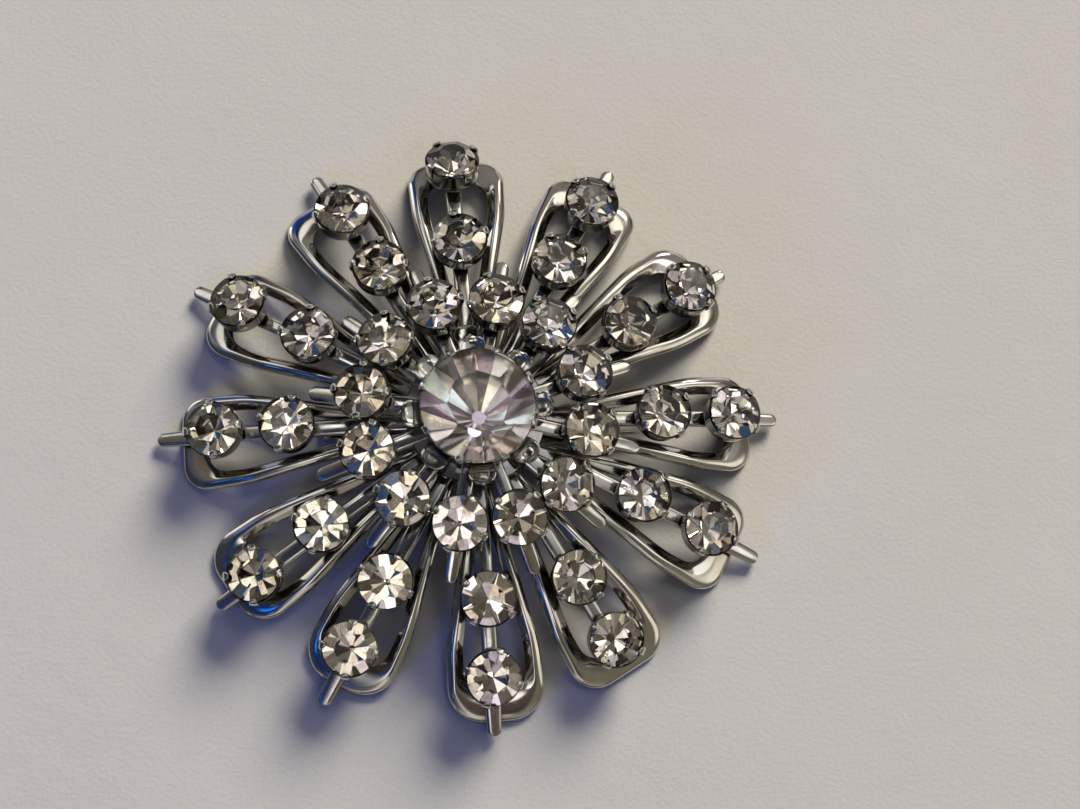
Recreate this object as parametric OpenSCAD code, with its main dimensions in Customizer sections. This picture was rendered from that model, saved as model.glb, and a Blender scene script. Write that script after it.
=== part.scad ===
// Starburst brooch: a stamped plate of twelve open petals, a star of twelve long rays over it,
// a raised star of twelve short rays over that, and a flower setting at the middle.
// Millimetres. The origin is on the surface that the brooch lies on, under its middle; +Z is up.
// +Y is the way that ray 1 points, nearly, and the rays are counted clockwise from it.

/* [Rays and rings] */
// Tip to tip over two opposite long rays
brooch_d = 62.4; // [61:0.1:63.5]
// Radius of the ring of outer stones
outer_ring_r = 25.7; // [25:0.1:26]
// Radius of the ring of middle stones
middle_ring_r = 18.3; // [18:0.1:19]
// Radius of the ring of inner stones
inner_ring_r = 11; // [10.95:0.05:11.5]
// Reach of the rounded tips of the short rays
short_ray_reach = 16.7; // [16:0.1:17.2]

/* [Petal plate] */
// Reach of the petals' outer ends
petal_reach = 29; // [28.6:0.1:29.3]
// Width of a petal at its outer end
petal_w = 10; // [9.6:0.1:10.2]
// Width of the opening in a petal
petal_opening_w = 6.15; // [5.6:0.05:6.2]
// Width of the band across a petal's outer end
petal_end_band = 2.7; // [2.2:0.1:3]
// Radius of a petal's outer corners
petal_corner_r = 2.5; // [2.2:0.1:2.9]
// Height of the top of the plate's hub
plate_top = 4.4; // [4:0.1:5]
// Thickness of the stamped sheet
sheet = 0.4; // [0.35:0.05:0.5]
// Fall of the rolled outer edge below the ridge
rim_fall = 0.35; // [0.2:0.05:0.5]
// Fall of the inner edge below the ridge, which dishes the band
dish_fall = 0.6; // [0.3:0.05:0.8]

/* [Long and short rays] */
// Width of a long ray
ray_w = 1.4; // [1.2:0.1:1.8]
// Width of a short ray
short_ray_w = 1.6; // [1.4:0.1:1.8]
// Thickness of the rays
ray_t = 0.45; // [0.4:0.05:0.6]
// Radius of the dome that the long rays follow
ray_dome_r = 125; // [120:5:150]
// Radius of the dome that the short rays follow
short_dome_r = 58; // [50:1:70]
// Height of the short rays' dome at the middle
short_dome_top = 8; // [7.8:0.1:8.2]

/* [Small stones and cups] */
// Diameter of a small stone
stone_d = 5.1; // [4.9:0.05:5.2]
// Thickness of a cup's wall
cup_wall = 0.2; // [0.15:0.01:0.25]
// Clearance round every stone
stone_gap = 0.1; // [0.08:0.01:0.12]
// Width of a cup's claw
claw_w = 0.7; // [0.5:0.05:0.9]

/* [Middle setting] */
// Diameter of the large stone
big_stone_d = 11.2; // [11:0.1:11.4]
// Height of the large stone's girdle
big_girdle_z = 11.3; // [11:0.1:11.8]
// Reach of the setting's rounded leaves
leaf_reach = 6.8; // [6.5:0.1:7]
// Width of a leaf
leaf_w = 2.5; // [2.2:0.1:2.7]
// Number of leaves, and of the claws between them
leaves = 8; // [6:1:8]

/* [Pin] */
// Length of the bar on the back
pin_bar = 30; // [26:1:30]
// Diameter of the pin's stem
stem_d = 0.9; // [0.8:0.05:1]

/* [Hidden] */
$fn = 48;
dome_fn = 240;
rays = 12;
pitch = 360 / rays;
first_ray = 94;
eps = 0.1;

// How each arm was bent by hand: turns and bends in degrees, shifts in millimetres.
// long ray's turn, its middle cup's shift, its outer cup's shift, its outer end's bend, its tip's
// shift, the petal's turn, the shift of its reach, what it is wider by, the short ray's turn, the
// outer cup's own lean
BENT = [
    [ 1.0,  0.0,  0.8,  7, -3.6,  0.0, -0.3,  0.1,  1.0, 10],
    [-1.0,  0.0,  0.0,  0,  0.2, -1.0, -0.3,  0.1, -0.5,  0],
    [-0.5,  0.0,  0.0,  0,  0.0,  1.0,  0.1,  0.5,  0.5,  0],
    [-1.0,  0.3,  0.0,  0,  0.0, -1.5, -0.6,  0.1,  0.0,  0],
    [ 2.0, -0.2, -0.3,  0,  0.5,  1.2,  0.1,  0.3,  0.0,  0],
    [-1.0,  0.3, -0.4,  5, -3.0, -1.0,  0.1,  0.5, -0.3,  0],
    [ 0.5, -0.4, -0.4,  0, -0.1,  1.5,  0.6, -0.1,  0.8,  0],
    [-1.5,  0.0, -0.2,  0,  0.4, -0.6,  0.2, -0.3,  1.2,  0],
    [ 2.5,  0.0,  0.5,  0,  0.0,  1.0,  0.3,  0.0,  0.5,  0],
    [-1.0,  0.0, -0.3,  0,  0.4,  0.0,  0.1, -0.2,  0.5,  0],
    [-0.5,  0.0,  0.4,  0,  0.5,  0.0, -0.1, -0.3,  0.5,  0],
    [-2.0, -0.3, -0.5,  0,  0.0, -0.4, -0.2,  0.1,  1.5,  0]
];
RAY_TURN = 0;
MIDDLE_SHIFT = 1;
OUTER_SHIFT = 2;
END_BEND = 3;
TIP_SHIFT = 4;
PETAL_TURN = 5;
PETAL_SHIFT = 6;
PETAL_WIDER = 7;
SHORT_TURN = 8;
OUTER_LEAN = 9;
bend_from = 24;

// Small stones: a table, a crown of flats, a girdle and a pointed back, ground on a round blank
stone_r = stone_d / 2;
stone_table = 0.54 * stone_r;
stone_crown = 0.8;
stone_girdle = 0.15;
stone_back = 2;
stone_flats = 8;
stone_back_flats = 12;
culet_z = 0.75;
girdle_z = culet_z + stone_back;

// Cups
cup_in_r = stone_r + stone_gap;
cup_out_r = cup_in_r + cup_wall;
cup_foot_r = 1.7;
cup_foot_h = 0.1;
cup_turn_r = 2.5;
cup_turn_z = 0.75;
cup_knee_z = 1.3;
cup_knee_in = 0.1;
cup_floor_r = 1.2;
cup_floor_z = 0.6;
cup_seat_z = 1.9;
cup_sink = 0.15;
claws = 4;
claw_t = 0.24;
claw_lap = 0.42;
claw_root = 0.6;

// Petal plate
plate_hub_r = 6.2;
plate_hub_t = 0.5;
petal_root_r = 5.4;
petal_root_w = 1.9;
petal_belly_r = 22.5;
petal_belly_in = 0.25;
opening_root_r = 9.4;
opening_root_w = 0.7;
opening_belly_in = 0.05;
opening_corner_r = 1.5;
ridge_in = 0.45;
ridge_root_in = 0.2;
belly_bend_r = 14;

// Long rays: their dome starts a little above the flat hub, so that it clears the petal plate
star_hub_r = 6;
star_hub_t = 0.6;
star_top = plate_top + star_hub_t;
ray_lift = 0.05;
ray_dome_top = star_top + ray_lift;
ray_root_r = 4;
tag_ray = 1;
tag_r = 9;
tag_l = 2.6;
tag_w = 2;
tag_t = 0.3;

// Short rays, which lead the gaps between the long rays by a small turn
short_lead = 2;
short_hub_r = 7;
short_bore_r = 3.8;
collar_r = 4.8;
collar_top = 7.6;

// Middle setting
big_r = big_stone_d / 2;
big_table = 0.5 * big_r;
big_girdle = 0.3;
big_crown = 1.6;
big_back = 4;
bowl_wall = 0.24;
bowl_in_r = big_r + stone_gap;
bowl_out_r = bowl_in_r + bowl_wall;
bowl_rim_h = 0.6;
bowl_seat_h = 0.5;
bowl_neck_z = 8.3;
bowl_neck_t = 0.2;
stem_r = 3.5;
stem_in_r = 3;
leaf_turn = 5;
leaf_low_r = 3.4;
leaf_low_z = 8.35;
leaf_high_z = 10.2;
leaf_t = 0.35;

// Pin
bar_w = 3;
bar_t = 0.6;
bar_top = 2.1;
boss_r = 3;
knuckle_r = 0.9;
pin_z = 1.2;
catch_in_r = 0.62;
catch_out_r = 1;
catch_w = 2.4;
catch_inset = 1;
catch_open = 70;
point_len = 3;
point_d = 0.2;

function two_digits(k) = str(k < 10 ? "0" : "", k);
function stone_name(ring, k) = str(ring, "_stone_", two_digits(k));
RINGS = ["inner", "middle", "outer"];

// Column c of the row for arm k
function bent(k, c) = BENT[k - 1][c];
function arm_angle(k) = first_ray - pitch * (k - 1);
function short_ray_angle(k) = arm_angle(k) + pitch / 2 + short_lead + bent(k, SHORT_TURN);

// Height and slope of a dome of radius r and top z0, at distance x from the axis
function dome_z(z0, r, x) = z0 - r + sqrt(r * r - x * x);
function dome_slope(r, x) = asin(x / r);

// Points of the round between the sides a-b and b-c of a corner
function unit(v) = v / norm(v);
function corner_arc(a, b, c, r, steps) =
    let (
        u = unit(a - b),
        v = unit(c - b),
        half = acos(u * v) / 2,
        middle = b + unit(u + v) * r / sin(half),
        first = b + u * r / tan(half) - middle,
        last = b + v * r / tan(half) - middle,
        from = atan2(first.y, first.x),
        turn = (atan2(last.y, last.x) - from + 540) % 360 - 180
    )
    [for (i = [0:steps]) middle + r * [cos(from + turn * i / steps), sin(from + turn * i / steps)]];

// Points between a and b, without the two ends
function between(a, b, n) = [for (i = [1:n]) a + (b - a) * i / (n + 1)];

// One side of a petal's outline, from its root to its outer corner, on the side +Y
function petal_side(root, belly, end, corner_r) =
    let (
        bend = corner_arc(root, belly, end, belly_bend_r, 2),
        corner = corner_arc(belly, end, [end.x, 0], corner_r, 6)
    )
    concat([root], between(root, bend[0], 3), bend, corner);

function flipped(points) = [for (i = [len(points) - 1:-1:0]) [points[i].x, -points[i].y]];

function petal_outline(root, belly, end, corner_r) =
    let (side = petal_side(root, belly, end, corner_r)) concat(flipped(side), side);

// The points of an outline laid on the domed plate, lowered by fall. Each petal droops just
// enough for the underside of its rim to meet the surface at its outer end.
function on_plate(points, fall, reach, half) =
    let (
        end_half = half - petal_corner_r,
        droop = (plate_top - rim_fall - sheet) / (reach * reach + end_half * end_half)
    )
    [for (p = points) [p.x, p.y, plate_top - droop * (p * p) - fall]];

// A closed band through rings of points that lie round one another
module ring_band(rings) {
    n = len(rings[0]);
    count = len(rings);
    polyhedron(
        points = [for (ring = rings) each ring],
        faces = [
            for (i = [0:count - 1]) for (j = [0:n - 1])
            let (
                a = i * n + j,
                b = i * n + (j + 1) % n,
                c = ((i + 1) % count) * n + (j + 1) % n,
                d = ((i + 1) % count) * n + j
            )
            each [[a, b, c], [a, c, d]]
        ]
    );
}

// One open petal: a rolled rim, a ridge, and a band that dips to the opening
module petal(reach, half) {
    rim = petal_outline(
        [petal_root_r, petal_root_w / 2],
        [petal_belly_r, half - petal_belly_in],
        [reach, half],
        petal_corner_r
    );
    ridge = petal_outline(
        [petal_root_r + ridge_in, petal_root_w / 2 - ridge_root_in],
        [petal_belly_r, half - petal_belly_in - ridge_in],
        [reach - ridge_in, half - ridge_in],
        petal_corner_r - ridge_in
    );
    opening = petal_outline(
        [opening_root_r, opening_root_w / 2],
        [petal_belly_r, petal_opening_w / 2 - opening_belly_in],
        [reach - petal_end_band, petal_opening_w / 2],
        opening_corner_r
    );
    ring_band([
        on_plate(rim, rim_fall, reach, half),
        on_plate(ridge, 0, reach, half),
        on_plate(opening, dish_fall, reach, half),
        on_plate(opening, dish_fall + sheet, reach, half),
        on_plate(ridge, sheet, reach, half),
        on_plate(rim, rim_fall + sheet, reach, half)
    ]);
}

module petal_plate() color("silver") {
    translate([0, 0, plate_top - plate_hub_t]) cylinder(r = plate_hub_r, h = plate_hub_t);
    for (k = [1:rays])
        rotate(arm_angle(k) + bent(k, PETAL_TURN))
            petal(petal_reach + bent(k, PETAL_SHIFT), (petal_w + bent(k, PETAL_WIDER)) / 2);
}

// The outline of a strip along +X between two distances from the axis, with a round tip
module strip_outline(from, to, width, round_tip = true) {
    tip = round_tip ? width / 2 : 0;
    translate([from, -width / 2]) square([to - from - tip, width]);
    if (round_tip) translate([to - tip, 0]) circle(r = tip);
}

// A sheet in the shape of the outline below, bent to a dome of radius dome_r and top z0
module domed(top, dome_r) {
    intersection() {
        translate([0, 0, top - dome_r]) difference() {
            sphere(r = dome_r, $fn = dome_fn);
            sphere(r = dome_r - ray_t, $fn = dome_fn);
        }
        linear_extrude(height = 2 * top) children();
    }
}

// Turns what lies past bend_from on a long ray down by an angle
module bent_down(angle) {
    z = dome_z(ray_dome_top, ray_dome_r, bend_from);
    translate([bend_from, 0, z]) rotate([0, angle, 0]) translate([-bend_from, 0, -z]) children();
}

module on_dome(x, top, dome_r) {
    translate([x, 0, dome_z(top, dome_r, x)]) rotate([0, dome_slope(dome_r, x), 0]) children();
}

// The places of the three rings of cups; each cup is turned a different way on its arm
function own_turn(ring, k) = 37 * k + 19 * ring;
module on_inner(k) {
    rotate(short_ray_angle(k)) on_dome(inner_ring_r, short_dome_top, short_dome_r)
        rotate(own_turn(0, k)) children();
}
module on_middle(k) {
    rotate(arm_angle(k) + bent(k, RAY_TURN))
        on_dome(middle_ring_r + bent(k, MIDDLE_SHIFT), ray_dome_top, ray_dome_r)
            rotate(own_turn(1, k)) children();
}
module on_outer(k) {
    rotate(arm_angle(k) + bent(k, RAY_TURN)) bent_down(bent(k, END_BEND))
        on_dome(outer_ring_r + bent(k, OUTER_SHIFT), ray_dome_top, ray_dome_r)
            rotate([0, bent(k, OUTER_LEAN), 0]) rotate(own_turn(2, k)) children();
}

// A claw in the plane of +X: up a wall of outer radius wall_r, then over a crown that rises
// from rim [radius, height] towards table [radius, height]
module claw(wall_r, wall_z, rim, table) {
    along = unit(table - rim);
    out = [along.y, -along.x];
    low = rim + out * stone_gap;
    high = low + out * claw_t;
    rotate([90, 0, 0]) translate([0, 0, -claw_w / 2]) linear_extrude(height = claw_w) polygon([
        [wall_r - cup_wall / 2, wall_z],
        [wall_r + claw_t / 2, wall_z],
        [wall_r + claw_t / 2, high.y],
        high + along * claw_lap,
        low + along * claw_lap,
        [wall_r - cup_wall / 2, low.y]
    ]);
}

// A round cup with four claws; z = 0 is the top of the ray that it is soldered to
module cup() {
    rotate_extrude() polygon([
        [0, -cup_sink],
        [cup_foot_r, -cup_sink],
        [cup_foot_r, cup_foot_h],
        [cup_turn_r, cup_turn_z],
        [cup_out_r - cup_knee_in, cup_knee_z],
        [cup_out_r, girdle_z],
        [cup_in_r, girdle_z],
        [cup_in_r, cup_seat_z],
        [cup_floor_r, cup_floor_z],
        [0, cup_floor_z]
    ]);
    rim = [stone_r, girdle_z + stone_girdle];
    table = [stone_table, girdle_z + stone_girdle + stone_crown];
    for (i = [0:claws - 1])
        rotate(360 / claws * (i + 0.5)) claw(cup_out_r, girdle_z - claw_root, rim, table);
}

// A cut stone whose back point is at the origin
module cut_stone(r, table, back, girdle, crown) {
    across = cos(180 / stone_flats);
    back_across = cos(180 / stone_back_flats);
    steep = (r - table) / crown;
    intersection() {
        cylinder(r = r, h = back + girdle + crown);
        rotate(180 / stone_flats) cylinder(
            r1 = (r + steep * (back + girdle)) / across, r2 = table / across,
            h = back + girdle + crown, $fn = stone_flats
        );
        rotate(180 / stone_back_flats)
            cylinder(r1 = 0, r2 = 2 * r / back_across, h = 2 * back, $fn = stone_back_flats);
    }
}

module small_stone() color("aliceblue")
    translate([0, 0, culet_z])
        cut_stone(stone_r, stone_table, stone_back, stone_girdle, stone_crown);

module long_ray(k) {
    reach = brooch_d / 2 + bent(k, TIP_SHIFT);
    bend = bent(k, END_BEND);
    rotate(arm_angle(k) + bent(k, RAY_TURN)) {
        if (bend == 0) {
            domed(ray_dome_top, ray_dome_r) strip_outline(ray_root_r, reach, ray_w);
        } else {
            domed(ray_dome_top, ray_dome_r)
                strip_outline(ray_root_r, bend_from + eps, ray_w, round_tip = false);
            bent_down(bend) domed(ray_dome_top, ray_dome_r) strip_outline(bend_from, reach, ray_w);
        }
    }
    on_middle(k) cup();
    on_outer(k) cup();
}

// A small blank tag with round ends, soldered across one long ray near the hub
module tag() {
    side = (tag_l - tag_w) / 2;
    rotate(arm_angle(tag_ray) + bent(tag_ray, RAY_TURN)) on_dome(tag_r, ray_dome_top, ray_dome_r)
        translate([0, 0, -ray_t / 2]) linear_extrude(height = ray_t / 2 + tag_t) {
            for (end = [-side, side]) translate([0, end]) circle(d = tag_w);
            square([tag_w, 2 * side], center = true);
        }
}

module ray_star() color("gainsboro") {
    translate([0, 0, plate_top]) cylinder(r = star_hub_r, h = star_hub_t);
    for (k = [1:rays]) long_ray(k);
    tag();
}

module inner_star() color("gainsboro") {
    domed(short_dome_top, short_dome_r) difference() {
        union() {
            circle(r = short_hub_r);
            for (k = [1:rays])
                rotate(short_ray_angle(k)) strip_outline(short_bore_r, short_ray_reach, short_ray_w);
        }
        circle(r = short_bore_r);
    }
    translate([0, 0, star_top]) linear_extrude(height = collar_top - star_top) difference() {
        circle(r = collar_r);
        circle(r = short_bore_r);
    }
    for (k = [1:rays]) on_inner(k) cup();
}

// Rounded leaves that spread under the large stone
module leaf_ring() {
    intersection() {
        rotate_extrude() polygon([
            [leaf_low_r, leaf_low_z],
            [leaf_reach, leaf_high_z],
            [leaf_reach, leaf_high_z + leaf_t],
            [leaf_low_r, leaf_low_z + leaf_t]
        ]);
        linear_extrude(height = big_girdle_z) for (i = [0:leaves - 1]) rotate(leaf_turn + 360 / leaves * i) {
            translate([0, -leaf_w / 2]) square([leaf_reach - leaf_w / 2, leaf_w]);
            translate([leaf_reach - leaf_w / 2, 0]) circle(r = leaf_w / 2);
        }
    }
}

module centre_setting() color("silver") {
    rotate_extrude() polygon([
        [stem_in_r, star_top],
        [stem_r, star_top],
        [stem_r, bowl_neck_z],
        [bowl_out_r, big_girdle_z - bowl_rim_h],
        [bowl_out_r, big_girdle_z],
        [bowl_in_r, big_girdle_z],
        [bowl_in_r, big_girdle_z - bowl_seat_h],
        [stem_in_r, bowl_neck_z + bowl_neck_t]
    ]);
    leaf_ring();
    rim = [big_r, big_girdle_z + big_girdle];
    table = [big_table, big_girdle_z + big_girdle + big_crown];
    for (i = [0:leaves - 1])
        rotate(leaf_turn + 360 / leaves * (i + 0.5))
            claw(bowl_out_r, big_girdle_z - bowl_seat_h, rim, table);
}

module centre_stone() color("aliceblue")
    translate([0, 0, big_girdle_z - big_back]) rotate(leaf_turn + 180 / leaves)
        cut_stone(big_r, big_table, big_back, big_girdle, big_crown);

// The bar, knuckle, stem and catch on the back, as one plain piece that doesn't open
module pin_back() color("darkgray") {
    half = pin_bar / 2;
    boss_z = bar_top - bar_t / 2;
    stem_len = pin_bar - 2 * knuckle_r;
    translate([-half, -bar_w / 2, bar_top - bar_t]) cube([pin_bar, bar_w, bar_t]);
    translate([0, 0, boss_z]) cylinder(r = boss_r, h = plate_top - plate_hub_t - boss_z);
    translate([-half + knuckle_r, bar_w / 2, pin_z]) rotate([90, 0, 0]) cylinder(r = knuckle_r, h = bar_w);
    translate([-half + knuckle_r, 0, pin_z]) rotate([0, 90, 0]) {
        cylinder(d = stem_d, h = stem_len);
        translate([0, 0, stem_len]) cylinder(d1 = stem_d, d2 = point_d, h = point_len);
    }
    translate([half - catch_w - catch_inset, 0, pin_z]) rotate([0, 90, 0]) rotate(90 + catch_open / 2)
        rotate_extrude(angle = 360 - catch_open)
            translate([catch_in_r, 0]) square([catch_out_r - catch_in_r, catch_w]);
}

petal_plate();
ray_star();
inner_star();
centre_setting();
pin_back();
centre_stone();
for (k = [1:rays]) {
    on_inner(k) small_stone();
    on_middle(k) small_stone();
    on_outer(k) small_stone();
}
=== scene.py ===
# Starburst brooch: open petals, long and short rays, cups with claws, and foil-backed cut stones.
# The script works in metres in the parts' own frame. The dictionaries beside each piece hold
# millimetres and degrees, as a bench drawing does.
import math
import random

import bmesh
import bpy
from mathutils import Euler, Matrix, Vector


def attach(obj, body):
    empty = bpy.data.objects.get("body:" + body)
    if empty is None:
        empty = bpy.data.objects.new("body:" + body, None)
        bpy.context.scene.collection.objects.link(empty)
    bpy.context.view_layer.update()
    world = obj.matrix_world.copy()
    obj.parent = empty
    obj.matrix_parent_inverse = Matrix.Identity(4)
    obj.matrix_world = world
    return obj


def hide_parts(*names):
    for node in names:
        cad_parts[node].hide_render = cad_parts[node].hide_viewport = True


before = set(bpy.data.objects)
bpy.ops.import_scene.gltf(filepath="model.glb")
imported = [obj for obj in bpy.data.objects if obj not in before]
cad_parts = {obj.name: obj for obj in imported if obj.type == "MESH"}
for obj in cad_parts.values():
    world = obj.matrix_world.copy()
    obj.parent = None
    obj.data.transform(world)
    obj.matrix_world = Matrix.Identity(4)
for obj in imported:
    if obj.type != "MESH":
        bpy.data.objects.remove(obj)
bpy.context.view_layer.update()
mm = 0.001
arms = 12


# Shapes are pairs of points, in millimetres, and faces

def skin(rings, loop=False, caps=False):
    # faces through rings of points; loop joins the last ring to the first, caps closes the ends
    count = len(rings[0])
    points = [p for ring in rings for p in ring]
    faces = []
    for i in range(len(rings) if loop else len(rings) - 1):
        a = i * count
        b = (i + 1) % len(rings) * count
        for j in range(count):
            k = (j + 1) % count
            faces.append((a + j, a + k, b + k, b + j))
    if caps:
        faces.append(tuple(reversed(range(count))))
        faces.append(tuple(range(len(points) - count, len(points))))
    return points, faces


def circle(radius, steps, height=0.0, start=0.0):
    # points round the Z axis; start is a share of a step
    angles = [math.tau * (i + start) / steps for i in range(steps)]
    return [Vector((radius * math.cos(a), radius * math.sin(a), height)) for a in angles]


def lathe(profile, steps=48, loop=True):
    # profile holds (radius, height) pairs; a loop that leaves the axis out is a ring
    return skin([circle(radius, steps, height) for radius, height in profile], loop=loop)


def disc(radius, low, high, under, over):
    # a solid disc whose two edges are cut off by under and over
    return lathe([(0, low), (radius - under, low), (radius, low + under), (radius, high - over),
                  (radius - over, high), (0, high)], steps=96, loop=False)


def roundEnded(length, width, levels, steps):
    # a flat bar along X with round ends; levels holds how far in each ring lies, and its height
    half = width / 2
    rings = []
    for inset, height in levels:
        ring = circle(half - inset, steps, height, 0.5)
        for point in ring:
            point.x += math.copysign(length / 2 - half, point.x)
        rings.append(ring)
    return skin(rings, caps=True)


def wayAlong(rows, i):
    # the way that rows of (radius, height, ...) run at one of them
    before = rows[max(i - 1, 0)]
    after = rows[min(i + 1, len(rows) - 1)]
    return Vector((after[0] - before[0], 0, after[1] - before[1])).normalized()


def moved(shape, matrix):
    points, faces = shape
    return [matrix @ p for p in points], faces


def together(shapes):
    points = []
    faces = []
    for more, ring in shapes:
        start = len(points)
        points.extend(more)
        faces.extend(tuple(start + i for i in face) for face in ring)
    return points, faces


def asPiece(name, mesh):
    mesh.name = name
    piece = bpy.data.objects.new(name, mesh)
    bpy.context.scene.collection.objects.link(piece)
    return piece


def newObject(name, shape, materials, smooth=True, weld=0.002):
    # an object with a mesh in metres, welded, with its faces turned outwards
    points, faces = shape
    mesh = bpy.data.meshes.new(name)
    mesh.from_pydata([p * mm for p in points], [], faces)
    bm = bmesh.new()
    bm.from_mesh(mesh)
    bmesh.ops.remove_doubles(bm, verts=bm.verts, dist=weld * mm)
    bmesh.ops.dissolve_degenerate(bm, edges=bm.edges, dist=weld * mm / 4)
    bmesh.ops.recalc_face_normals(bm, faces=bm.faces)
    for face in bm.faces:
        face.smooth = smooth
    bm.to_mesh(mesh)
    bm.free()
    for material in materials:
        mesh.materials.append(material)
    return asPiece(name, mesh)


def turned(angle):
    return Matrix.Rotation(math.radians(angle), 4, "Z")


# Node trees

def newTree(name, kind, inputs, outputs):
    # each input is (name, socket type, value) and each output (name, socket type)
    tree = bpy.data.node_groups.new(name, kind)
    for label, socket, value in inputs:
        item = tree.interface.new_socket(label, in_out="INPUT", socket_type=socket)
        if value is not None:
            item.default_value = value
    for label, socket in outputs:
        tree.interface.new_socket(label, in_out="OUTPUT", socket_type=socket)
    return tree, tree.nodes.new("NodeGroupInput"), tree.nodes.new("NodeGroupOutput")


def feed(tree, socket, value):
    # value is the output that feeds the socket, a plain value, or a colour without its alpha
    if isinstance(value, bpy.types.NodeSocket):
        tree.links.new(value, socket)
    else:
        socket.default_value = (*value, 1) if socket.type == "RGBA" else value


def feedAll(tree, node, **sockets):
    # a socket goes by its name, or by at and its number
    for key, value in sockets.items():
        label = int(key[2:]) if key.startswith("at") else key.replace("_", " ")
        feed(tree, node.inputs[label], value)


def addNode(tree, kind, settings=(), **sockets):
    # settings are the node's own choices
    node = tree.nodes.new(kind)
    for key, value in dict(settings).items():
        setattr(node, key, value)
    feedAll(tree, node, **sockets)
    return node


def maths(tree, operation, *values):
    node = addNode(tree, "ShaderNodeMath", {"operation": operation})
    for socket, value in zip(node.inputs, values):
        feed(tree, socket, value)
    return node.outputs[0]


def noise(tree, place, scale, detail, roughness=0.5):
    return addNode(tree, "ShaderNodeTexNoise", Vector=place, Scale=scale, Detail=detail,
                   Roughness=roughness).outputs["Fac"]


def mapped(tree, value, low, high, first=0.0, last=1.0):
    # low to high becomes first to last
    return addNode(tree, "ShaderNodeMapRange", Value=value, From_Min=low, From_Max=high,
                   To_Min=first, To_Max=last).outputs[0]


def ownPlace(tree):
    return addNode(tree, "ShaderNodeTexCoord").outputs["Object"]


def steppedColours(tree, factor, stops):
    # stops holds where each plain colour starts
    node = addNode(tree, "ShaderNodeValToRGB", Fac=factor)
    node.color_ramp.interpolation = "CONSTANT"
    while len(node.color_ramp.elements) < len(stops):
        node.color_ramp.elements.new(0.5)
    for element, (place, shade) in zip(node.color_ramp.elements, stops):
        element.position = place
        element.color = (*shade, 1)
    return node.outputs["Color"]


def mixColour(tree, factor, first, second, blend="MIX"):
    node = addNode(tree, "ShaderNodeMix", {"data_type": "RGBA", "blend_type": blend}, at0=factor,
                   at6=first, at7=second)
    return node.outputs[2]


def newMaterial(name):
    material = bpy.data.materials.new(name)
    material.use_nodes = True
    return material, material.node_tree, material.node_tree.nodes["Principled BSDF"]


def bumpOf(tree, height, strength, distance):
    return addNode(tree, "ShaderNodeBump", Height=height, Strength=strength,
                   Distance=distance).outputs[0]


print("materials")

# what wear on polished plating looks like, with dirt and painted shade in its corners; a scale is
# in patches to the metre
wearAndShade = {
    "blotchDetail": 5.0,
    "blotchRoughness": 0.6,
    "blotchRange": (0.42, 0.75),
    "cornerSamples": 5,
    "cornerRange": (0.46, 0.97),
    "cornerUnevenness": 0.5,
    "hairSets": ((0.5, 0.0), (2.1, 7.3)),   # two sets of hairlines that cross: turn and start
    "hairTilt": (0.2, 0.3),
    "hairScale": (300, 9000, 3000),
    "hairRange": (0.66, 0.74),
    "waveScale": 220.0,
    "waveDepth": 0.00002,
    # painted shade: the colour that corners darken to, shade and dirt together
    "shadeAndDirt": (0.045, 0.036, 0.026),
    "tarnishDulls": 0.5,
    "shadeAndGrimeDulls": 0.7,
}


def makeWearAndShade():
    # faint hairlines, slow waves left by the stamp, tarnish that lies in blotches, and dirt with
    # painted shade that darkens the corners as far as the occlusion reaches
    tree, ins, outs = newTree("platingWearAndShade", "ShaderNodeTree", [
        ("Blotch Size mm", "NodeSocketFloat", 6.0),
        ("Corner Reach mm", "NodeSocketFloat", 1.2),
        ("Hairlines", "NodeSocketFloat", 0.3),
        ("Waviness", "NodeSocketFloat", 0.5),
    ], [(label, "NodeSocketFloat") for label in ("Tarnish", "Grime", "Dullness", "Height")])
    place = ownPlace(tree)
    blotch = noise(tree, place, maths(tree, "DIVIDE", 1 / mm, ins.outputs["Blotch Size mm"]),
                   wearAndShade["blotchDetail"], wearAndShade["blotchRoughness"])
    tarnish = mapped(tree, blotch, *wearAndShade["blotchRange"])
    # painted shade: an occlusion mask darkens corners and hollows, together with some dirt
    corner = addNode(tree, "ShaderNodeAmbientOcclusion", {"samples": wearAndShade["cornerSamples"]},
                     Distance=maths(tree, "MULTIPLY", ins.outputs["Corner Reach mm"], mm))
    uneven = maths(tree, "MULTIPLY_ADD", blotch, wearAndShade["cornerUnevenness"], corner.outputs["AO"])
    shadeAndGrime = mapped(tree, uneven, *wearAndShade["cornerRange"], 1.0, 0.0)
    hairs = []
    for turn, start in wearAndShade["hairSets"]:
        along = addNode(tree, "ShaderNodeMapping", Vector=place, Location=(start, 0, 0),
                        Rotation=(*wearAndShade["hairTilt"], turn), Scale=wearAndShade["hairScale"])
        hairs.append(mapped(tree, noise(tree, along.outputs[0], 1.0, 1.0), *wearAndShade["hairRange"]))
    drawn = maths(tree, "MULTIPLY", maths(tree, "ADD", *hairs), ins.outputs["Hairlines"])
    dull = maths(tree, "MULTIPLY_ADD", tarnish, wearAndShade["tarnishDulls"], drawn)
    dirty = maths(tree, "MULTIPLY_ADD", shadeAndGrime, wearAndShade["shadeAndGrimeDulls"], dull)
    dirty.node.use_clamp = True
    waves = noise(tree, place, wearAndShade["waveScale"], 1.0)
    height = maths(tree, "MULTIPLY", waves, ins.outputs["Waviness"])
    for socket, value in zip(outs.inputs, (tarnish, shadeAndGrime, dirty, height)):
        feed(tree, socket, value)
    return tree


platingWearAndShade = makeWearAndShade()


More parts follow.
